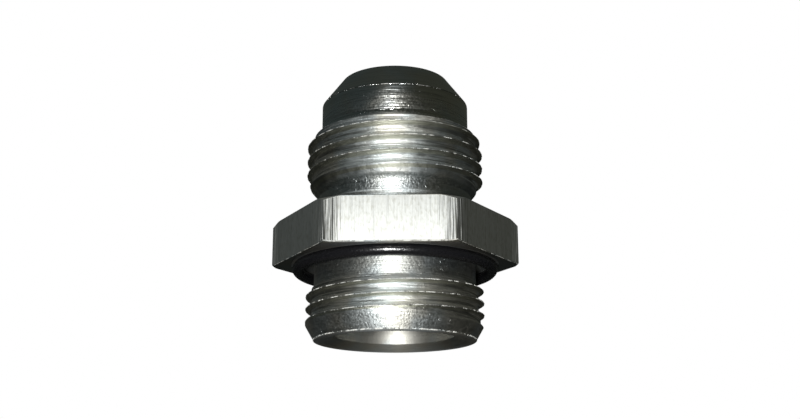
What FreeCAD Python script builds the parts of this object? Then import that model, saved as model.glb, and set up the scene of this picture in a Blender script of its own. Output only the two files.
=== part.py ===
"""Hydraulic adapter: a straight fitting turned from hexagon bar, with a rubber sealing ring.

One end is a 37 degree flare nose with a 1 1/16 inch male thread, 12 threads per inch.
The other is a G 3/4 male port stud, with the ring seated round it under the hexagon.
Both threads are plain cylinders as wide as their crests.
Millimetres. +Z runs along the bore towards the flare, and z = 0 is the end face of the stud.
"""
import FreeCAD, Part
import math
import os
import re
import Sketcher

V = FreeCAD.Vector
START_AT = 2.0  # a sketch's corners stand round here, in mm, until their constraints place them

# Driving sizes: name, value, what it measures
SIZES = [
    ("hex_flats", 32.0, "across flats"),
    ("hex_height", 6.7, "thickness of the hexagon"),
    ("hex_corner_round", 0.4, "radius on the six upright corners"),
    ("hex_top_circle", 34.5, "diameter where the upper corner chamfer starts"),
    ("hex_under_circle", 35.9, "diameter where the lower corner chamfer starts"),
    ("hex_chamfer_angle", 30.0, "slope of both corner chamfers"),
    ("stud_length", 11.25, "end face to the underside of the hexagon"),
    ("stud_major", 26.4, "outside diameter of the port thread"),
    ("stud_relief_dia", 24.0, "plain relief under the hexagon"),
    ("stud_relief_width", 3.5, "length of that relief"),
    ("stud_bevel", 0.6, "length of the bevel from relief to thread"),
    ("stud_tip_dia", 23.8, "small end of the lead-in taper"),
    ("stud_taper", 2.25, "length of the lead-in taper"),
    ("mouth_dia", 20.6, "countersunk mouth of the stud"),
    ("mouth_half_angle", 60.0, "half angle of that countersink"),
    ("port_bore_dia", 17.5, "larger bore, from the end of the stud"),
    ("port_bore_depth", 17.0, "depth of the larger bore"),
    ("drill_half_angle", 59.0, "half angle at the bottom of the larger bore"),
    ("nose_length", 22.1, "top of the hexagon to the tip of the flare"),
    ("nose_major", 26.6, "outside diameter of the flare end's thread"),
    ("neck_dia", 22.9, "plain neck above the hexagon"),
    ("neck_width", 3.55, "length of that neck"),
    ("neck_bevel", 2.2, "length of the bevel from neck to thread"),
    ("neck_foot", 0.45, "bevel at the foot of the neck"),
    ("nose_thread_end", 11.65, "top of the hexagon to the end of the full thread"),
    ("pilot_dia", 22.3, "plain cylinder between thread and flare"),
    ("flare_height", 4.0, "height of the flare cone"),
    ("flare_half_angle", 37.0, "half angle of the flare cone"),
    ("nose_bore_dia", 15.5, "smaller bore, through the flare"),
    ("ring_section", 1.75, "thickness of the sealing ring"),
    ("ring_inside_dia", 27.0, "inside diameter of the sealing ring, which passes over the thread"),
    ("ring_seat_gap", 0.05, "ring to the recess above it"),
    ("recess_depth", 0.25, "recess for the ring in the underside of the hexagon"),
    ("recess_side_gap", 0.15, "ring to the outer wall of the recess"),
    ("overrun", 0.5, "how far a cutting form stands past the surface it cuts"),
]

doc = FreeCAD.newDocument("hydraulic_adapter")
sheet = doc.addObject("Spreadsheet::Sheet", "Sizes")
for row, (alias, value, meaning) in enumerate(SIZES, start=1):
    sheet.set(f"A{row}", alias)
    sheet.set(f"B{row}", str(value))
    sheet.set(f"C{row}", meaning)
    sheet.setAlias(f"B{row}", alias)
doc.recompute()
SIZE = {alias: value for alias, value, _ in SIZES}

# Places and radii that several features share, as formulas of the sizes
HEX_UNDER = "stud_length"
HEX_TOP = "(stud_length + hex_height)"
HEX_MIDDLE = "(stud_length + hex_height / 2)"
HEX_CORNER = "(hex_flats / sqrt(3))"
TIP = "(stud_length + hex_height + nose_length)"
RELIEF_END = "(stud_length - stud_relief_width)"
NECK_END = "(stud_length + hex_height + neck_width)"
THREAD_END = "(stud_length + hex_height + nose_thread_end)"
PILOT_START = f"({THREAD_END} + (nose_major - pilot_dia) / 2)"
TAPER_END = "stud_taper"
MOUTH_END = "((mouth_dia - port_bore_dia) / 2 / tan(mouth_half_angle * 1 deg))"
DRILL_END = "(port_bore_depth + (port_bore_dia - nose_bore_dia) / 2 / tan(drill_half_angle * 1 deg))"
RING_RADIUS = "((ring_inside_dia + ring_section) / 2)"
RECESS_RADIUS = "(ring_inside_dia / 2 + ring_section + recess_side_gap)"
RECESS_TOP = "(stud_length + recess_depth)"


def bound(formula):
    """The formula with every size name pointed at its cell of the sheet."""
    return re.sub(r"[a-z][a-z_]*", lambda word: f"Sizes.{word[0]}" if word[0] in SIZE else word[0], formula)


def origin_part(body, role):
    """The body's own origin plane or axis with this role."""
    return next(item for item in body.Origin.OriginFeatures if item.Role == role)


def new_sketch(body, name, role):
    sketch = body.newObject("Sketcher::SketchObject", name)
    sketch.AttachmentSupport = [(origin_part(body, role), "")]
    sketch.MapMode = "FlatFace"
    return sketch


def place(sketch, line, kind, formula, name):
    """Ties the start of a line to the origin along one direction of the sketch."""
    if formula == "0":
        own_axis = {"DistanceX": -2, "DistanceY": -1}[kind]
        sketch.addConstraint(Sketcher.Constraint("PointOnObject", line, 1, own_axis))
        return
    index = sketch.addConstraint(Sketcher.Constraint(kind, -1, 1, line, 1, 1.0))
    sketch.renameConstraint(index, name)
    sketch.setExpression(f"Constraints.{name}", bound(formula))


def outline(body, name, corners):
    """Closed outline in the XZ plane, whose corners are (radius, height) pairs of formulas."""
    sketch = new_sketch(body, name, "XZ_Plane")
    count = len(corners)
    turns = [math.tau * k / count for k in range(count)]
    spots = [V(START_AT + math.cos(turn_k), START_AT + math.sin(turn_k), 0) for turn_k in turns]
    for k in range(count):
        sketch.addGeometry(Part.LineSegment(spots[k], spots[(k + 1) % count]), False)
    for k in range(count):
        sketch.addConstraint(Sketcher.Constraint("Coincident", k, 2, (k + 1) % count, 1))
    for k, (radius, height) in enumerate(corners):
        place(sketch, k, "DistanceX", radius, f"radius_{k}")
        place(sketch, k, "DistanceY", height, f"height_{k}")
    doc.recompute()
    return sketch


def turned(body, kind, name, corners):
    """A full turn of an outline about Z, which adds (Revolution) or cuts (Groove)."""
    sketch = outline(body, f"{name}_outline", corners)
    feature = body.newObject(f"PartDesign::{kind}", name)
    feature.Profile = sketch
    feature.ReferenceAxis = (origin_part(body, "Z_Axis"), [""])
    feature.Angle = 360
    doc.recompute()
    return feature


def hexagon(body):
    """The bar's hexagon, with flats across Y, padded up from the stud."""
    sketch = new_sketch(body, "hexagon_outline", "XY_Plane")
    reach = SIZE["hex_flats"] / math.sqrt(3)
    spots = [V(reach * math.cos(math.pi * k / 3), reach * math.sin(math.pi * k / 3), 0) for k in range(6)]
    for k in range(6):
        sketch.addGeometry(Part.LineSegment(spots[k], spots[(k + 1) % 6]), False)
    flats = sketch.addGeometry(Part.Circle(V(0, 0, 0), V(0, 0, 1), SIZE["hex_flats"] / 2), True)
    for k in range(6):
        sketch.addConstraint(Sketcher.Constraint("Coincident", k, 2, (k + 1) % 6, 1))
    sketch.addConstraint(Sketcher.Constraint("Coincident", flats, 3, -1, 1))
    for k in range(6):
        sketch.addConstraint(Sketcher.Constraint("Tangent", k, flats))
    for k in range(1, 5):
        sketch.addConstraint(Sketcher.Constraint("Equal", k, k + 1))
    sketch.addConstraint(Sketcher.Constraint("Horizontal", 1))
    index = sketch.addConstraint(Sketcher.Constraint("Diameter", flats, SIZE["hex_flats"]))
    sketch.renameConstraint(index, "across_flats")
    sketch.setExpression("Constraints.across_flats", bound("hex_flats"))
    sketch.setExpression(".AttachmentOffset.Base.z", bound(HEX_UNDER))
    pad = body.newObject("PartDesign::Pad", "hexagon")
    pad.Profile = sketch
    pad.setExpression("Length", bound("hex_height"))
    doc.recompute()
    return pad


def rounded(body, base, name, chosen, size):
    """A fillet on the edges of the base feature that the test picks out."""
    names = [f"Edge{k}" for k, edge in enumerate(base.Shape.Edges, start=1) if chosen(edge)]
    feature = body.newObject("PartDesign::Fillet", name)
    feature.Base = (base, names)
    feature.setExpression("Radius", bound(size))
    doc.recompute()
    return feature


def upright(edge):
    """A straight edge along Z."""
    ends = [vertex.Point for vertex in edge.Vertexes]
    return len(ends) == 2 and abs(ends[0].z - ends[1].z) > SIZE["hex_height"] / 2


def corner_chamfer(body, name, circle, face, side):
    """The cone that a lathe tool leaves on the six corners, above (1) or below (-1) the bar."""
    away = f"{side} * overrun"
    slope = "tan(hex_chamfer_angle * 1 deg)"
    outer = f"({HEX_CORNER} + overrun)"
    turned(body, "Groove", name, [
        (f"{circle} / 2 - overrun / {slope}", f"{face} + {away}"),
        (outer, f"{face} + {away}"),
        (outer, f"{face} - {side} * ({outer} - {circle} / 2) * {slope}"),
    ])


def fitting():
    """The one steel piece: hexagon, port stud, flare nose and the bore through them."""
    body = doc.addObject("PartDesign::Body", "fitting_body")
    body.Label = "fitting_body"
    bar = hexagon(body)
    rounded(body, bar, "hexagon_corners", upright, "hex_corner_round")
    corner_chamfer(body, "upper_chamfer", "hex_top_circle", HEX_TOP, "1")
    corner_chamfer(body, "lower_chamfer", "hex_under_circle", HEX_UNDER, "-1")
    turned(body, "Groove", "ring_recess", [
        ("0", HEX_UNDER),
        (RECESS_RADIUS, HEX_UNDER),
        (RECESS_RADIUS, RECESS_TOP),
        ("0", RECESS_TOP),
    ])
    turned(body, "Revolution", "port_stud", [
        ("0", "0"),
        ("stud_tip_dia / 2", "0"),
        ("stud_major / 2", TAPER_END),
        ("stud_major / 2", f"{RELIEF_END} - stud_bevel"),
        ("stud_relief_dia / 2", RELIEF_END),
        ("stud_relief_dia / 2", HEX_MIDDLE),
        ("0", HEX_MIDDLE),
    ])
    turned(body, "Revolution", "flare_nose", [
        ("0", HEX_MIDDLE),
        ("neck_dia / 2 + neck_foot", HEX_MIDDLE),
        ("neck_dia / 2 + neck_foot", HEX_TOP),
        ("neck_dia / 2", f"{HEX_TOP} + neck_foot"),
        ("neck_dia / 2", NECK_END),
        ("nose_major / 2", f"{NECK_END} + neck_bevel"),
        ("nose_major / 2", THREAD_END),
        ("pilot_dia / 2", PILOT_START),
        ("pilot_dia / 2", f"{TIP} - flare_height"),
        ("pilot_dia / 2 - flare_height * tan(flare_half_angle * 1 deg)", TIP),
        ("0", TIP),
    ])
    turned(body, "Groove", "bores", [
        ("0", "0"),
        ("mouth_dia / 2", "0"),
        ("port_bore_dia / 2", MOUTH_END),
        ("port_bore_dia / 2", "port_bore_depth"),
        ("nose_bore_dia / 2", DRILL_END),
        ("nose_bore_dia / 2", TIP),
        ("0", TIP),
    ])
    return body


def sealing_ring():
    """The rubber ring, round in section, held between the relief and the recess in the hexagon."""
    ring = doc.addObject("Part::Torus", "sealing_ring")
    ring.Label = "sealing_ring"
    ring.setExpression("Radius1", bound(RING_RADIUS))
    ring.setExpression("Radius2", bound("ring_section / 2"))
    ring.setExpression("Placement.Base.z", bound(f"{RECESS_TOP} - ring_seat_gap - ring_section / 2"))
    doc.recompute()
    return ring


parts = [fitting(), sealing_ring()]
doc.recompute()
for item in doc.Objects:
    if "Invalid" in item.State or "Error" in item.State:
        raise RuntimeError(f"{item.Name} did not compute: {item.State}")
for item in parts:
    if item.Shape.isNull() or not item.Shape.isValid() or len(item.Shape.Solids) != 1:
        raise RuntimeError(f"{item.Label} is not one valid solid")

os.makedirs("parts", exist_ok=True)
for item in parts:
    item.Shape.exportStep(f"parts/{item.Label}.step")
    print(item.Label, round(item.Shape.Volume, 3), "mm3")
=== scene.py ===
"""Hydraulic adapter: the turned and plated fitting with both cut threads, and its rubber ring.

Shapes are worked out in millimetres, as (radius, height) round the bore, and become metres in the mesh.
"""
from collections import namedtuple

import bpy
import numpy as np
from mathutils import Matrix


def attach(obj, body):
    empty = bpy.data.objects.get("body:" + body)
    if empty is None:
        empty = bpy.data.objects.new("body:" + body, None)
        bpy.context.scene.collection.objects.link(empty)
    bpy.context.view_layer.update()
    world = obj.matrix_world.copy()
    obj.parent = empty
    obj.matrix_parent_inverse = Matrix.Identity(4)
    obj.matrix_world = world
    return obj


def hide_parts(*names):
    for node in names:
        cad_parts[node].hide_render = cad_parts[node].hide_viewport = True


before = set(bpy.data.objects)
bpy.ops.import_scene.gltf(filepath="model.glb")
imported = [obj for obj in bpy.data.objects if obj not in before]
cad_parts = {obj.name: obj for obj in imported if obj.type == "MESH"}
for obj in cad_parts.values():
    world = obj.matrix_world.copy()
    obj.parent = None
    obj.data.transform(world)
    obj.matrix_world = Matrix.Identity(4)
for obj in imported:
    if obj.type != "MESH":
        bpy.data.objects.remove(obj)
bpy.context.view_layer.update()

MM = 0.001
TURN = 2 * np.pi
# Points that are nearer to each other than about this, in mm, become one
WELD = 1e-5

# Sizes in mm: a name that ends in _R is a radius, one that ends in LOW, HIGH, TOP, TIP, SEAM or CENTRE is a
# height above the stud's end, and the others are lengths
HEX_FLAT, HEX_CORNER_ROUND = 16.0, 0.4
HEX_LOW, HEX_HIGH = 11.25, 17.95
# The corners are turned off by a cone that starts at these circles on the two faces
HEX_LOW_R, HEX_HIGH_R = 17.95, 17.25
HEX_SLOPE = np.tan(np.radians(30.0))
HEX_EDGE = 0.13
TIP_R, STUD_R, RELIEF_R = 11.9, 13.2, 12.0
TAPER_TOP, STUD_CREST_TOP, RELIEF_LOW = 2.25, 7.15, 7.75
# The tool has left a thin, nicked burr round the stud's end
BURR_REACH, BURR_NICK = 0.13, 0.08
BURR_LOW, BURR_TOP = 0.05, 0.17
RECESS_R, RECESS_TOP = 15.4, 11.5
NECK_R, NECK_TOP = 11.45, 21.5
# The grooving tool went a little deeper at the foot of the neck
NECK_FOOT_R, NECK_FOOT_LOW, NECK_FOOT_TOP = 11.28, 19.45, 20.2
NOSE_R, NOSE_CREST_LOW, NOSE_CREST_TOP = 13.3, 23.7, 29.8
# A small turned bead low on the bevel between thread and pilot, from its foot up
BEAD = [(12.35, 30.45), (12.1, 30.65), (12.25, 30.95), (11.45, 31.15)]
BEAD_R, BEAD_LOW, BEAD_TOP = BEAD[0][0], BEAD[0][1], BEAD[-1][1]
PILOT_R, PILOT_LOW, PILOT_TOP = 11.15, 32.0, 36.05
FLARE_TIP_R, FLARE_TIP = 8.136, 40.05
NOSE_BORE_R, NOSE_BORE_LOW = 7.75, 17.6
PORT_BORE_R, PORT_BORE_TOP, PORT_BORE_SEAM = 8.75, 17.0, 9.0
MOUTH_R, MOUTH_TOP = 10.3, 0.895

# The ring: its round section, and the ridge that its mould's halves left along both equators
RING_CENTRE_R, RING_CENTRE, RING_SECTION_R = 14.375, 10.575, 0.875
RIDGE_HEIGHT, RIDGE_SINE = 0.02, 0.06

# A cut thread: crest_at is the height of a crest over +X, the flank's angle is in degrees, and depth, root
# flat and the easing of crest and root are shares of the pitch. Where the last groove's middle comes down
# from fade_start to fade_end, it runs out
Thread = namedtuple("Thread", ["crest_r", "crest_at", "pitch", "depth", "flank", "root", "soft_crest",
                               "soft_root", "fade_end", "fade_start"])
# The port's 55 degree pipe form, 14 to the inch, and the flare's 60 degree form, 12 to the inch
PORT_THREAD = Thread(STUD_R, crest_at=7.24, pitch=1.814, depth=0.48, flank=27.5, root=0.44,
                     soft_crest=0.025, soft_root=0.08, fade_end=2.0, fade_start=3.1)
FLARE_THREAD = Thread(NOSE_R, crest_at=30.25, pitch=2.117, depth=0.48, flank=30.0, root=0.40,
                      soft_crest=0.02, soft_root=0.09, fade_end=21.6, fade_start=23.0)
# Heights from and to which the rows follow a thread, and more level rows, close where marks need them
PORT_ROWS, PORT_LEVELS = (0.22, 7.74), np.arange(0.4, 2.2, 0.25)
FLARE_ROWS = (21.85, 31.3)
FLARE_LEVELS = np.concatenate([np.arange(22.0, 23.7, 0.2), np.arange(29.7, 30.45, 0.07)])

# Nicks along every turned edge, as a share of the deepest. Real ones are from about 0.05 mm long, too fine
# to show, so these steps are 0.3 mm long. They repeat after eight turns
NICK_STEPS, NICK_TURNS, NICK_DEPTH = 260, 8, 0.09
NICKS = np.random.default_rng(11).random(NICK_TURNS * NICK_STEPS) ** 3


def sector_angles(steps=40):
    """Angles round the axis, with extra ones on the six rounded corners of the hexagon."""
    corner_reach = HEX_FLAT / np.cos(np.pi / 6)
    half = np.degrees(HEX_CORNER_ROUND / 2 / corner_reach)
    one = np.concatenate([[0, half / 2], np.linspace(half, 60 - half, steps), [60 - half / 2]])
    return np.radians(np.append((one[None, :] + 60 * np.arange(6)[:, None]).ravel(), 360.0))


ANGLE = sector_angles()
RING_ANGLE = np.linspace(0, TURN, 193)


def ramp(value, start, end):
    """0 before start, 1 after end, eased between."""
    share = np.clip((value - start) / (end - start), 0, 1)
    return share * share * (3 - 2 * share)


def between(value, low, high, ease):
    """1 between two numbers, 0 outside, eased from ease before each to ease after it."""
    return ramp(value, low - ease, low + ease) * (1 - ramp(value, high - ease, high + ease))


def nicks(turns):
    """How deep an edge is nicked, 0 to 1, at a place in turns along it."""
    return np.interp(turns * NICK_STEPS, np.arange(len(NICKS)), NICKS, period=len(NICKS))


def hex_radius(angle):
    """Radius of a hexagon with corners on +X: half the flats over the cosine of the turn off the nearest
    flat, or the far crossing with the corner's own circle where that is less."""
    off_flat = np.mod(angle, np.pi / 3) - np.pi / 6
    off_corner = np.mod(angle + np.pi / 6, np.pi / 3) - np.pi / 6
    flat = HEX_FLAT / np.cos(off_flat)
    centre = (HEX_FLAT - HEX_CORNER_ROUND) / np.cos(np.pi / 6)
    inside = HEX_CORNER_ROUND ** 2 - (centre * np.sin(off_corner)) ** 2
    arc = centre * np.cos(off_corner) + np.sqrt(np.maximum(inside, 0))
    on_arc = np.abs(off_corner) < np.arcsin(HEX_CORNER_ROUND / 2 / centre)
    return np.where(on_arc, np.minimum(arc, flat), flat)


def hex_edges(hexagon):
    """Heights of the lower and upper ends of the flats: a 30 degree cone from the face circles, and at
    least a small bevel."""
    lower = HEX_LOW + np.maximum((hexagon - HEX_LOW_R) * HEX_SLOPE, HEX_EDGE)
    upper = HEX_HIGH - np.maximum((hexagon - HEX_HIGH_R) * HEX_SLOPE, HEX_EDGE)
    return lower, upper


def softened(rows, sizes):
    """Each inner row of corners becomes three, on a quadratic curve that leaves the straight sides at its
    size from the corner, or at 0.4 of a side that is shorter."""
    at = rows[1:-1]
    sizes = np.asarray(sizes, float)[:, None, None]

    def towards(other):
        gap = other - at
        length = np.maximum(np.linalg.norm(gap, axis=2, keepdims=True), WELD)
        return at + gap / length * np.minimum(sizes, 0.4 * length)

    first, last = towards(rows[:-2]), towards(rows[2:])
    middle = (first + 2 * at + last) / 4
    curved = np.stack([first, middle, last], axis=1).reshape(-1, rows.shape[1], 2)
    return np.concatenate([rows[:1], curved, rows[-1:]])


def band(*corners):
    """Softened rows of (radius, height) at every angle. Each corner is a radius and a height, as numbers or
    following the angle, and between the two ends also the size that it is softened by."""
    rows = np.stack([
        np.stack([np.broadcast_to(corner[0], ANGLE.shape), np.broadcast_to(corner[1], ANGLE.shape)], axis=1)
        for corner in corners
    ])
    return softened(rows, [corner[2] for corner in corners[1:-1]])


def soft_line(corners, size):
    """One profile of (radius, height) corners, softened."""
    rows = np.array(corners, float)[:, None, :]
    return softened(rows, [size] * (len(corners) - 2))[:, 0, :]


def on_line(line, height):
    """The place on a profile at this height."""
    return np.interp(height, line[:, 1], line[:, 0]), height


def eased_corner(at, before, after, reach):
    """Five places on a quadratic curve round a corner (place, share), from reach before it on the side that
    starts at before to reach after it on the side that ends at after."""
    at, before, after = np.array(at), np.array(before), np.array(after)
    start = at + (before - at) * reach / abs(before[0] - at[0])
    end = at + (after - at) * reach / abs(after[0] - at[0])
    step = np.linspace(0, 1, 5)[:, None]
    return (1 - step) ** 2 * start + 2 * step * (1 - step) * at + step ** 2 * end


def thread_nodes(thread):
    """Half a thread as places from the crest's middle, in turns, and shares of the depth there: flat crest,
    straight flank, flat root, and both corners eased, each by five places."""
    foot = 0.5 - thread.root / 2
    brow = foot - thread.depth * np.tan(np.radians(thread.flank))
    crest_middle, crest_end, root_end, root_middle = (0, 0), (brow, 0), (foot, 1), (0.5, 1)
    top = eased_corner(crest_end, crest_middle, root_end, min(thread.soft_crest, 0.9 * brow))
    low = eased_corner(root_end, crest_end, root_middle, thread.soft_root)
    return np.concatenate([[crest_middle], top, low, [root_middle]]).T


def thread_drop(turns, thread):
    """Depth below the crest in mm, at a place given in turns from a crest's middle."""
    places, shares = thread_nodes(thread)
    nearest = np.abs(np.mod(turns + 0.5, 1) - 0.5)
    return np.interp(nearest, places, shares) * thread.depth * thread.pitch


def threaded(low, high, line, thread, levels):
    """Rows between two heights where a thread is cut: radius = the smaller of the turned line's and
    the crest's less the drop. The rows are the thread's own lines, which climb one pitch a turn, and
    the turned line's level ones, sorted by height at each angle, so that both stay sharp. The lowest
    groove gets shallower where its own middle comes down between the two fading heights, and the top
    quarter of each crest is nicked."""
    wound = ANGLE[None, :] / TURN
    places, _ = thread_nodes(thread)
    places = np.unique(np.concatenate([places, 1 - places]).round(6))[:-1]
    first = np.floor((low - thread.crest_at) / thread.pitch) - 1
    last = np.ceil((high - thread.crest_at) / thread.pitch) + 1
    turns = (np.arange(first, last)[:, None] + places[None, :]).ravel()
    climbing = thread.crest_at + thread.pitch * (turns[:, None] + wound)
    level = np.unique(np.concatenate([line[:, 1], [low, high], levels]))
    level = level[(level >= low) & (level <= high)]
    level = np.broadcast_to(level[:, None], (len(level), len(ANGLE)))
    height = np.sort(np.concatenate([np.clip(climbing, low, high), level]), axis=0)
    turned = np.interp(height, line[:, 1], line[:, 0])
    spot = (height - thread.crest_at) / thread.pitch - wound
    groove = thread.crest_at + thread.pitch * (np.floor(spot) + 0.5 + wound)
    drop = thread_drop(spot, thread)
    on_crest = np.clip(1 - 4 * drop / (thread.depth * thread.pitch), 0, 1)
    nick = NICK_DEPTH * nicks(np.round(spot) + wound) * on_crest
    cut = thread.crest_r - nick - drop * ramp(groove, thread.fade_end, thread.fade_start)
    return np.stack([np.minimum(turned, cut), height], axis=2)


def fitting_rows():
    """All the rows of the fitting, from halfway up the port bore, out round the stud's end, up the outside,
    over the flare and down the bore again, so that the last row meets the first."""
    hexagon = hex_radius(ANGLE)
    low_rim = np.minimum(HEX_LOW_R, hexagon - HEX_EDGE)
    high_rim = np.minimum(HEX_HIGH_R, hexagon - HEX_EDGE)
    low_edge, high_edge = hex_edges(hexagon)
    stud_line = soft_line([(TIP_R, 0), (STUD_R, TAPER_TOP), (STUD_R, STUD_CREST_TOP),
                           (RELIEF_R, RELIEF_LOW)], 0.15)
    nose_line = soft_line([(NECK_R, NECK_TOP), (NOSE_R, NOSE_CREST_LOW), (NOSE_R, NOSE_CREST_TOP),
                           *BEAD, (PILOT_R, PILOT_LOW)], 0.06)
    # Both ends of the turn take the same nick, so that they meet
    burr_r = TIP_R + BURR_REACH - BURR_NICK * nicks(np.mod(ANGLE / TURN, 1))
    foot = band(
        (PORT_BORE_R, PORT_BORE_SEAM),
        (PORT_BORE_R, MOUTH_TOP, 0.1),
        (MOUTH_R, 0, 0.06),
        (TIP_R, 0, 0.03),
        (burr_r, BURR_LOW, 0.03),
        (burr_r, BURR_TOP, 0.03),
        on_line(stud_line, PORT_ROWS[0]),
    )
    middle = band(
        on_line(stud_line, PORT_ROWS[1]),
        (RELIEF_R, RELIEF_LOW + 0.02, 0.01),
        (RELIEF_R, RECESS_TOP, 0.15),
        (RECESS_R, RECESS_TOP, 0.05),
        (RECESS_R, HEX_LOW, 0.06),
        (low_rim, HEX_LOW, 0.05),
        (hexagon, low_edge, 0.15),
        (hexagon, high_edge, 0.05),
        (high_rim, HEX_HIGH, 0.06),
        (NECK_FOOT_R, HEX_HIGH, 0.6),
        (NECK_FOOT_R, NECK_FOOT_LOW, 0.1),
        (NECK_R, NECK_FOOT_TOP, 0.1),
        (NECK_R, NECK_TOP, 0.1),
        on_line(nose_line, FLARE_ROWS[0]),
    )
    head = band(
        on_line(nose_line, FLARE_ROWS[1]),
        (PILOT_R, PILOT_LOW, 0.1),
        (PILOT_R, PILOT_LOW + 0.4, 0.1),
        (PILOT_R, PILOT_TOP, 0.12),
        (FLARE_TIP_R, FLARE_TIP, 0.05),
        (NOSE_BORE_R, FLARE_TIP, 0.05),
        (NOSE_BORE_R, NOSE_BORE_LOW, 0.1),
        (PORT_BORE_R, PORT_BORE_TOP, 0.1),
        (PORT_BORE_R, PORT_BORE_SEAM),
    )
    port_thread = threaded(*PORT_ROWS, stud_line, PORT_THREAD, PORT_LEVELS)
    flare_thread = threaded(*FLARE_ROWS, nose_line, FLARE_THREAD, FLARE_LEVELS)
    return np.concatenate([foot[:-1], port_thread, middle[1:-1], flare_thread, head[1:-1]])


def ring_rows(steps=40):
    """A round section, standing out by its mould's parting ridge along its inner and outer equator."""
    spin = np.linspace(0, TURN, steps, endpoint=False)[:, None]
    ridge = RIDGE_HEIGHT * np.exp(-(np.sin(spin) / RIDGE_SINE) ** 2)
    reach = np.broadcast_to(RING_SECTION_R - RIDGE_HEIGHT + ridge, (steps, len(RING_ANGLE)))
    return np.stack([RING_CENTRE_R + reach * np.cos(spin), RING_CENTRE + reach * np.sin(spin)], axis=2)


def round_mesh(name, rows, angle):
    """A closed mesh of rows of (radius, height) carried round the axis. Points that coincide are welded,
    and a cell that this leaves with three corners is a triangle, or with fewer none."""
    radius, height = rows[..., 0], rows[..., 1]
    points = np.stack([radius * np.cos(angle), radius * np.sin(angle), height], axis=2).reshape(-1, 3)
    keys = np.rint(points / WELD).astype(np.int64)
    _, kept, index = np.unique(keys, axis=0, return_index=True, return_inverse=True)
    grid = index.reshape(rows.shape[:2])
    above = np.roll(grid, -1, axis=0)
    cells = np.stack([grid[:, :-1], grid[:, 1:], above[:, 1:], above[:, :-1]], axis=2).reshape(-1, 4)
    distinct = 1 + (np.diff(np.sort(cells, axis=1), axis=1) != 0).sum(axis=1)
    quads = cells[distinct == 4]
    thin = cells[distinct == 3]
    # A corner that differs from the next one is kept, which leaves three where the welded two are neighbours
    own = thin != np.roll(thin, -1, axis=1)
    whole = own.sum(axis=1) == 3
    triangles = thin[whole][own[whole]].reshape(-1, 3)
    mesh = bpy.data.meshes.new(name)
    mesh.from_pydata((points[kept] * MM).tolist(), [], quads.tolist() + triangles.tolist())
    mesh.polygons.foreach_set("use_smooth", np.ones(len(mesh.polygons), bool))
    mesh.update()
    return mesh


def piece(name, mesh, node):
    """The mesh as an object of the part, on its only body, in place of the CAD node."""
    made = bpy.data.objects.new(name, mesh)
    bpy.context.scene.collection.objects.link(made)
    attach(made, "root")
    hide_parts(node)
    return made


def paint_points(mesh, name, values):
    """One number from 0 to 1 for each point of the mesh, for its material to read."""
    layer = mesh.attributes.new(name, "FLOAT", "POINT")
    layer.data.foreach_set("value", np.clip(values, 0, 1).astype(np.float32))


def point_places(mesh):
    """Radius and height of every point in mm, and its angle."""
    flat = np.empty(len(mesh.vertices) * 3)
    mesh.vertices.foreach_get("co", flat)
    x, y, z = flat.reshape(-1, 3).T / MM
    return np.hypot(x, y), z, np.arctan2(y, x)


# --- The pieces
fitting_mesh = round_mesh("adapter_fitting", fitting_rows(), ANGLE)
fitting = piece("adapter_fitting", fitting_mesh, "fitting_body")
weighted = fitting.modifiers.new("flat_faces_stay_flat", "WEIGHTED_NORMAL")
weighted.mode = "FACE_AREA"
weighted.weight = 50
ring_mesh = round_mesh("adapter_ring", ring_rows(), RING_ANGLE)
piece("adapter_ring", ring_mesh, "sealing_ring")

# --- Marks on the fitting, one number for each point: what was rubbed, cut, torn or left plain, where shade and highlights are painted, and where
radius, height, turn = point_places(fitting_mesh)
# Below the flare, everything out of this radius is the outside
OUTSIDE_R = 10.9


def zone(low, high, ease, inner=OUTSIDE_R, outer=np.inf):
    """1 between two heights and two radii, 0 elsewhere, eased in height."""
    return between(height, low, high, ease) * (radius > inner) * (radius < outer)


def at_edge(edge_r, edge_height, reach=0.045):
    """1 on the middle row of a softened edge, which is its rubbed line, and 0 beside it."""
    return 1.0 * (np.hypot(radius - edge_r, height - edge_height) < reach)


def thread_marks(thread, low, high):
    """1 along the crests, which are also painted lighter as partly a painted highlight, and 1 on the flanks
    that face down, which are painted as shade, of a thread between two heights. Places past a crest's middle
    are in turns, and the crest is where the radius is nearly whole too."""
    places, _ = thread_nodes(thread)
    crest_end, root_start = places[3], places[6]
    past = np.mod((height - thread.crest_at) / thread.pitch - turn / TURN + 0.5, 1) - 0.5
    here = zone(low, high, 0.1)
    whole = ramp(radius, thread.crest_r - 0.2, thread.crest_r - 0.05)
    line = here * (1 - ramp(np.abs(past), crest_end, crest_end + 0.01)) * whole
    flank = here * (-past > crest_end + 0.005) * (-past < root_start + 0.03)
    return line, flank


def thread_start_mark():
    """1 where the flare thread's groove leaves the bevel above it: the bevel's radius and the groove's are
    within 0.04 mm there, fading to 0 at 0.12 mm. That edge is rubbed too, and painted lighter as partly a
    painted highlight."""
    share = (height - NOSE_CREST_TOP) / (BEAD_LOW - NOSE_CREST_TOP)
    bevel_r = NOSE_R + (BEAD_R - NOSE_R) * share
    turns = (height - FLARE_THREAD.crest_at) / FLARE_THREAD.pitch - turn / TURN
    groove_r = NOSE_R - thread_drop(turns, FLARE_THREAD)
    near = np.clip(1.5 - np.abs(bevel_r - groove_r) / 0.08, 0, 1)
    return near * between(share, 0, 1, 0.05) * (radius > OUTSIDE_R)


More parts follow.
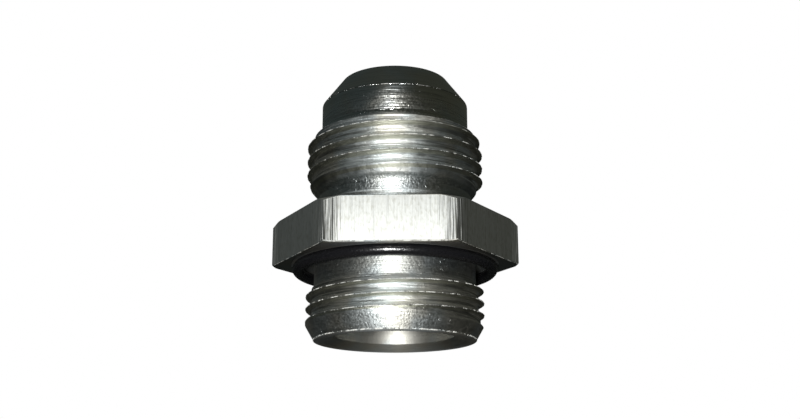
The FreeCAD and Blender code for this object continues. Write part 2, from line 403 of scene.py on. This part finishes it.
port_line, port_flank_shade = thread_marks(PORT_THREAD, TAPER_TOP + 0.2, RELIEF_LOW)
flare_line, flare_flank_shade = thread_marks(FLARE_THREAD, NECK_TOP + 0.5, BEAD_TOP - 0.05)
thread_start = thread_start_mark()
hexagon = hex_radius(turn)
hex_rim = at_edge(hexagon, hex_edges(hexagon)[0])
shoulder, bead = at_edge(PILOT_R, PILOT_TOP), at_edge(*BEAD[2])
burr = zone(BURR_LOW - 0.04, BURR_TOP + 0.02, 0.01, inner=TIP_R)
in_threads = zone(NECK_TOP + 0.7, BEAD_TOP - 0.15, 0.3) + zone(TAPER_TOP + 0.15, RELIEF_LOW, 0.2)
on_neck = zone(NECK_FOOT_TOP, NECK_TOP + 0.7, 0.15, outer=NECK_R + 1.05)
torn_foot = zone(HEX_HIGH + 0.1, NECK_FOOT_TOP - 0.05, 0.05, outer=NECK_FOOT_R + 0.82)
on_relief = zone(RELIEF_LOW, RECESS_TOP, 0.1, outer=RELIEF_R + 0.3)
on_taper = (1 - ramp(height, TAPER_TOP - 0.45, TAPER_TOP + 0.95)) * (radius > OUTSIDE_R)
on_bead = zone(BEAD_LOW, BEAD_TOP, 0.1)
foot_step = zone(BEAD_TOP + 0.05, PILOT_LOW + 0.15, 0.08)
pilot_foot = zone(BEAD_TOP, PILOT_TOP - 2.0, 0.3, outer=PILOT_R + 0.15)
fine_cut = ramp(height, PILOT_TOP - 2.2, PILOT_TOP - 1.5) * ((radius > OUTSIDE_R) | (height > PILOT_TOP))
under_hexagon = zone(HEX_LOW - 0.1, HEX_LOW + 0.2, 0.1, inner=RELIEF_R + 0.1)
in_bore = (radius < PORT_BORE_R + 0.02) * (height > MOUTH_TOP) * (height < FLARE_TIP - 0.1)
mouth = (radius > PORT_BORE_R + 0.02) * (radius < TIP_R - 0.05) * (height < MOUTH_TOP)

# The rubbed edges: real wear, also painted lighter in colour as partly a painted highlight
paint_points(fitting_mesh, "worn_and_glint", port_line + flare_line + thread_start + shoulder + bead + burr + hex_rim)
# flank: the flanks that face down, which are painted darker and olive as painted shade
paint_points(fitting_mesh, "flank", port_flank_shade + flare_flank_shade)
# How rough, how mottled by the plating, how ringed by the tool, and how dulled by a film or darkened as
# painted shade: plain turned steel, and what each zone adds to it
LAYERS = ("rough", "mottle", "ringed", "film_and_shade")
PLAIN = (0.52, 0.20, 0.10, 0.00)
ZONES = (
    (in_threads, 0.00, 0.00, 1.00, 0.00),
    (thread_start, 0.35, 0.00, 0.00, 0.00),
    (on_neck, -0.10, 0.75, 0.00, 0.30),
    (torn_foot, 0.12, 0.30, 1.00, 0.00),
    # On the relief under the ring and the hexagon, the film column is partly painted shade
    (on_relief, 0.00, 0.55, 0.00, 0.45),
    (on_taper, 0.00, 0.65, 0.30, 0.00),
    (on_bead, 0.05, 0.00, 0.00, 0.00),
    (foot_step, -0.16, 0.00, 0.00, 0.00),
    (pilot_foot, -0.19, 0.40, 0.40, 0.00),
    (fine_cut, -0.33, -0.10, 0.15, 0.00),
    (hex_rim, 0.25, 0.00, 0.00, 0.00),
    (under_hexagon, -0.20, 0.00, 0.00, 0.00),
    (in_bore, 0.06, 0.00, 0.00, 0.00),
    (mouth, -0.10, 0.00, 0.00, 0.00),
)
for column, (layer_name, plain) in enumerate(zip(LAYERS, PLAIN), start=1):
    paint_points(fitting_mesh, layer_name, plain + sum(row[0] * row[column] for row in ZONES))


# --- Materials
EASED = {"interpolation_type": "SMOOTHSTEP"}


def linear(colour):
    """Linear light of an sRGB hex colour, with alpha 1."""
    parts = [int(colour[k:k + 2], 16) / 255 for k in (1, 3, 5)]
    return [c / 12.92 if c <= 0.04045 else ((c + 0.055) / 1.055) ** 2.4 for c in parts] + [1.0]


def add(tree, kind, inputs=(), **settings):
    """A new node: its kind without ShaderNode, its inputs in order or by number or name, and its own
    settings. An input is a value, a socket to link, or a node, which stands for its first output."""
    node = tree.nodes.new("ShaderNode" + kind)
    for name, value in settings.items():
        setattr(node, name, value)
    for key, value in inputs.items() if isinstance(inputs, dict) else enumerate(inputs):
        source = value.outputs[0] if isinstance(value, bpy.types.Node) else value
        if isinstance(source, bpy.types.NodeSocket):
            tree.links.new(source, node.inputs[key])
        else:
            node.inputs[key].default_value = source
    return node


def total(tree, start, *products):
    """The start plus the product of each further group of numbers or sockets."""
    for first, *others, last in products:
        for other in others:
            first = add(tree, "Math", [first, other], operation="MULTIPLY")
        start = add(tree, "Math", [first, last, start], operation="MULTIPLY_ADD")
    return start


def layered(tree, colour, *layers):
    """A hex colour, with the colour of each further (share, hex colour) over it where its share is 1."""
    colour = linear(colour)
    for share, over in layers:
        colour = add(tree, "Mix", {0: share, 6: colour, 7: linear(over)}, data_type="RGBA").outputs[2]
    return colour


def stretched(tree, spot, across, along, detail):
    """A smooth random pattern, 0 to 1, on a vector in mm: so many features per mm across the axis, and so
    many along it."""
    squeezed = add(tree, "VectorMath", [spot, (across, across, along)], operation="MULTIPLY")
    return add(tree, "TexNoise", {"Vector": squeezed, "Scale": 1.0, "Detail": detail})


def place_in_mm(tree):
    """Object coordinates in mm, as a vector."""
    metres = add(tree, "TexCoord").outputs["Object"]
    return add(tree, "VectorMath", {0: metres, "Scale": 1 / MM}, operation="SCALE")


def radius_of(tree, spot):
    """Distance of a place from the bore's axis: the length of its vector without the height."""
    level = add(tree, "VectorMath", [spot, (1.0, 1.0, 0.0)], operation="MULTIPLY")
    return add(tree, "VectorMath", [level], operation="LENGTH").outputs["Value"]


def new_tree(name):
    """An empty material and its node tree."""
    material = bpy.data.materials.new(name)
    material.use_nodes = True
    material.node_tree.nodes.clear()
    return material, material.node_tree


def surface(tree, colour, roughness, relief, **fixed):
    """The shader of a piece, from a colour, a roughness and a relief in mm, and its other inputs by name
    with _ for a space, joined to the output."""
    bump = add(tree, "Bump", {"Strength": 1.0, "Distance": MM, "Height": relief})
    inputs = {"Base Color": colour, "Roughness": roughness, "Normal": bump}
    inputs.update({name.replace("_", " "): value for name, value in fixed.items()})
    add(tree, "OutputMaterial", [add(tree, "BsdfPrincipled", inputs)])


def plated_turned_steel():
    """Carbon steel turned on a lathe and zinc plated: fine rings from the tool, the darkest of them painted
    shade in its grooves, a grain from the plating, rubbed and burred crests painted near white as partly a
    painted highlight, and the flanks that face down painted a little darker and olive as painted shade."""
    material, tree = new_tree("plated_turned_steel")
    spot = place_in_mm(tree)
    # Height less 1.35 radii changes along every cone, flank, wall and end face, so rings show on each
    lowered = add(tree, "CombineXYZ", {"Z": total(tree, 0.0, (radius_of(tree, spot), 1.35))})
    tooled = add(tree, "VectorMath", [spot, lowered], operation="SUBTRACT")
    names = ("worn_and_glint", "flank", "rough", "mottle", "film_and_shade", "ringed")
    worn_and_glint, flank, rough, mottle, film_and_shade, ringed = [
        add(tree, "Attribute", attribute_name=name).outputs["Fac"] for name in names
    ]
    # The tool's marks are 0.1 to 0.2 mm apart, near one pixel: the rings are drawn 0.4 mm apart, the
    # darkest ones, which are painted shade in the tool's grooves, 0.3 mm, and only the short streaks 0.2 mm
    rings = stretched(tree, tooled, 0.05, 2.6, detail=2.0)
    groove_shade_rings = stretched(tree, tooled, 0.08, 3.6, detail=1.0)
    streaks = stretched(tree, tooled, 0.6, 5.0, detail=4.0)
    # The plating varies in colour over about 7 mm. Its grain is really 0.05 mm, drawn 0.3 mm, and its
    # nodules are up to 0.3 mm, drawn 0.6 mm
    cast = stretched(tree, spot, 0.15, 0.15, detail=2.0)
    grain = stretched(tree, spot, 3.2, 3.2, detail=3.0)
    nodules = stretched(tree, spot, 1.7, 1.7, detail=3.0)
    # Burrs stand in runs of 1 to 2 mm, so an edge glints, partly by a painted highlight, in places and not
    # all along
    runs = stretched(tree, spot, 0.8, 0.8, detail=3.0)
    warm = add(tree, "MapRange", [cast, 0.4, 0.6], **EASED)
    burred = add(tree, "MapRange", [runs, 0.46, 0.58], **EASED)
    # dark: where the rings are painted in shade, as in the tool's grooves
    dark = add(tree, "MapRange", [groove_shade_rings, 0.5, 0.62], **EASED)
    lumps = add(tree, "MapRange", [nodules, 0.66, 0.72], **EASED)
    rubbed_and_glint = total(tree, 0.0, (worn_and_glint, total(tree, 0.1, (burred, 0.9))))
    colour = layered(
        tree, "#c3c9c9",
        (warm, "#c9c8c0"),
        # Partly painted shade: this darkens the relief under the ring and hexagon, and as a film it dulls
        # the neck
        (film_and_shade, "#8f9798"),
        # Painted shade in the grooves of the tool's rings
        (total(tree, 0.0, (ringed, 0.65, dark)), "#6e6f69"),
        # Painted shade: the flanks that face down are painted a little darker and olive
        (total(tree, 0.0, (flank, 0.85)), "#a6a798"),
        # Partly painted highlight: the rubbed edges are painted near white, so they read as bright lines and
        # glints
        (rubbed_and_glint, "#f0f0ec"),
    )
    streaky = add(tree, "Math", [streaks, 0.5], operation="SUBTRACT")
    grainy = add(tree, "Math", [grain, 0.5], operation="SUBTRACT")
    swing = total(tree, 0.1, (ringed, 0.3))
    roughness = total(tree, rough, (streaky, swing), (grainy, mottle, 0.6), (rubbed_and_glint, 0.4))
    tooth = total(tree, rings, (streaks, 0.5))
    relief = total(tree, 0.0, (ringed, 0.24, tooth), (grain, mottle, 0.06), (rubbed_and_glint, grain, 1.5),
                   (lumps, mottle, 0.04))
    tangent = add(tree, "Tangent", direction_type="RADIAL", axis="Z")
    surface(tree, colour, roughness, relief, Metallic=1.0, Anisotropic=0.6, Anisotropic_Rotation=0.25,
            Tangent=tangent)
    return material


def plated_drawn_steel():
    """The bar's own flats: cold drawn, then plated, so the grain runs along the bar and gets coarser,
    with dark and bright scores, beside the six corners."""
    material, tree = new_tree("plated_drawn_steel")
    spot = place_in_mm(tree)
    # The die's lines are under 0.1 mm wide, drawn 0.2 mm; its scores are 0.4 mm wide and run the whole
    # height; the plating's stains are 0.3 mm wide
    grain = stretched(tree, spot, 5.0, 0.2, detail=3.0)
    scores = stretched(tree, spot, 2.6, 0.06, detail=2.0)
    stains = stretched(tree, spot, 3.0, 1.2, detail=3.0)
    near_corner = add(tree, "MapRange", [radius_of(tree, spot), 17.0, 18.2], **EASED)
    dark = add(tree, "MapRange", [scores, 0.58, 0.68], **EASED)
    bright = add(tree, "MapRange", [grain, 0.6, 0.7], **EASED)
    stained = add(tree, "MapRange", [stains, 0.45, 0.7], **EASED)
    scored = total(tree, 0.0, (dark, total(tree, 0.12, (near_corner, 0.85))))
    colour = layered(tree, "#cbcdc9", (stained, "#bbbcb5"), (scored, "#62645c"))
    roughness = total(tree, 0.35, (grain, 0.16), (bright, near_corner, 0.25))
    depth = total(tree, 0.01, (near_corner, 0.5))
    relief = total(tree, 0.0, (scores, depth), (grain, 0.008), (stains, 0.006))
    surface(tree, colour, roughness, relief, Metallic=1.0)
    return material


def nitrile_rubber():
    """Moulded black nitrile rubber, oiled: nearly black, with a soft sheen and a faint moulded texture."""
    material, tree = new_tree("nitrile_rubber")
    # The mould's own texture is about 0.05 mm, drawn 0.3 mm so that it shows
    grain = stretched(tree, place_in_mm(tree), 3.0, 3.0, detail=3.0)
    colour = layered(tree, "#08080a", (grain, "#121214"))
    roughness = total(tree, 0.17, (grain, 0.15))
    surface(tree, colour, roughness, total(tree, 0.0, (grain, 0.05)), IOR=1.52)
    return material


fitting_mesh.materials.append(plated_turned_steel())
fitting_mesh.materials.append(plated_drawn_steel())
ring_mesh.materials.append(nitrile_rubber())

# The flats of the hexagon take the drawn finish: each of their cells spans them from end to end, so its
# centre is near their middle height
centres = np.empty(len(fitting_mesh.polygons) * 3)
fitting_mesh.polygons.foreach_get("center", centres)
x, y, z = centres.reshape(-1, 3).T / MM
on_flat = (np.hypot(x, y) > HEX_FLAT - 0.02) & (np.abs(z - (HEX_LOW + HEX_HIGH) / 2) < 2.6)
fitting_mesh.polygons.foreach_set("material_index", on_flat.astype(np.int32))

# --- Camera, as far, as low and as long as the photograph's: mm from the axis and above the stud's end,
# degrees round the axis and up, and pixels of the photograph
CAMERA_DISTANCE, CAMERA_HEIGHT = 162.87, -23.78
CAMERA_ORBIT, CAMERA_PITCH = 2.18, 15.065
FOCAL_PIXELS, CENTRE_X, IMAGE_WIDTH = 1116.2, 394.40, 800
SENSOR = 36.0
camera_data = bpy.data.cameras.new("camera")
camera = bpy.data.objects.new("camera", camera_data)
bpy.context.scene.collection.objects.link(camera)
orbit, away = np.radians(CAMERA_ORBIT), CAMERA_DISTANCE * MM
camera.location = (away * np.sin(orbit), -away * np.cos(orbit), CAMERA_HEIGHT * MM)
camera.rotation_euler = (np.radians(90 + CAMERA_PITCH), 0, orbit)
camera_data.sensor_width = SENSOR
camera_data.lens = FOCAL_PIXELS / IMAGE_WIDTH * SENSOR
camera_data.shift_x = ((IMAGE_WIDTH - 1) / 2 - CENTRE_X) / IMAGE_WIDTH
camera_data.clip_start, camera_data.clip_end = 0.01, 10.0
bpy.context.scene.camera = camera

# --- Light: a small soft box beside the lens, in metres, in a dim room with a white backdrop
FLASH_SIDE, FLASH_PLACE, FLASH_ENERGY = 0.02, (-0.0145, -0.002, 0.0), 0.41
flash_data = bpy.data.lights.new("flash", "AREA")
flash_data.shape = "RECTANGLE"
flash_data.size, flash_data.size_y = FLASH_SIDE, FLASH_SIDE
flash_data.energy = FLASH_ENERGY
flash = bpy.data.objects.new("flash", flash_data)
bpy.context.scene.collection.objects.link(flash)
flash.parent = camera
flash.location = FLASH_PLACE

world = bpy.data.worlds.new("room")
bpy.context.scene.world = world
world.use_nodes = True
room = world.node_tree
room.nodes.clear()
rays = add(room, "LightPath")
across, _, upward = add(room, "SeparateXYZ", [add(room, "TexCoord").outputs["Generated"]]).outputs
# Two walls that differ a little, darkness under the horizon, and a paler floor far below
right = add(room, "MapRange", [across, -0.8, 0.8], **EASED)
low_down = add(room, "MapRange", [upward, -0.05, 0.25, 1.0, 0.0], **EASED)
far_below = add(room, "MapRange", [upward, -0.95, -0.45, 1.0, 0.0], **EASED)
reflected = layered(room, "#383e3d", (right, "#383a33"), (low_down, "#161816"), (far_below, "#4e4c45"))
# The camera and matt surfaces see a white backdrop, and gloss sees the room
looks = [rays.outputs["Is Camera Ray"], rays.outputs["Is Diffuse Ray"]]
white = add(room, "Math", looks, operation="MAXIMUM")
dim = add(room, "Background", {"Color": reflected, "Strength": 1.0})
pale = add(room, "Background", {"Color": linear("#ffffff"), "Strength": 1.0})
add(room, "OutputWorld", [add(room, "MixShader", [white, dim, pale])])
bpy.context.scene.view_settings.view_transform = "Standard"

# --- Floor: pale, and see-through from below, where the photograph is taken from
FLOOR_HALF = 1.5
floor_mesh = bpy.data.meshes.new("floor")
floor_corners = [(FLOOR_HALF * side_x, FLOOR_HALF * side_y, 0) for side_x, side_y in
                 ((-1, -1), (1, -1), (1, 1), (-1, 1))]
floor_mesh.from_pydata(floor_corners, [], [(0, 1, 2, 3)])
floor = bpy.data.objects.new("floor", floor_mesh)
bpy.context.scene.collection.objects.link(floor)
floor_material, tree = new_tree("pale_floor")
painted = add(tree, "BsdfPrincipled", {"Base Color": linear("#f2f2f0"), "Roughness": 0.9})
from_below = add(tree, "NewGeometry").outputs["Backfacing"]
add(tree, "OutputMaterial", [add(tree, "MixShader", [from_below, painted, add(tree, "BsdfTransparent")])])
floor_mesh.materials.append(floor_material)
floor.visible_glossy = False
floor.visible_shadow = False
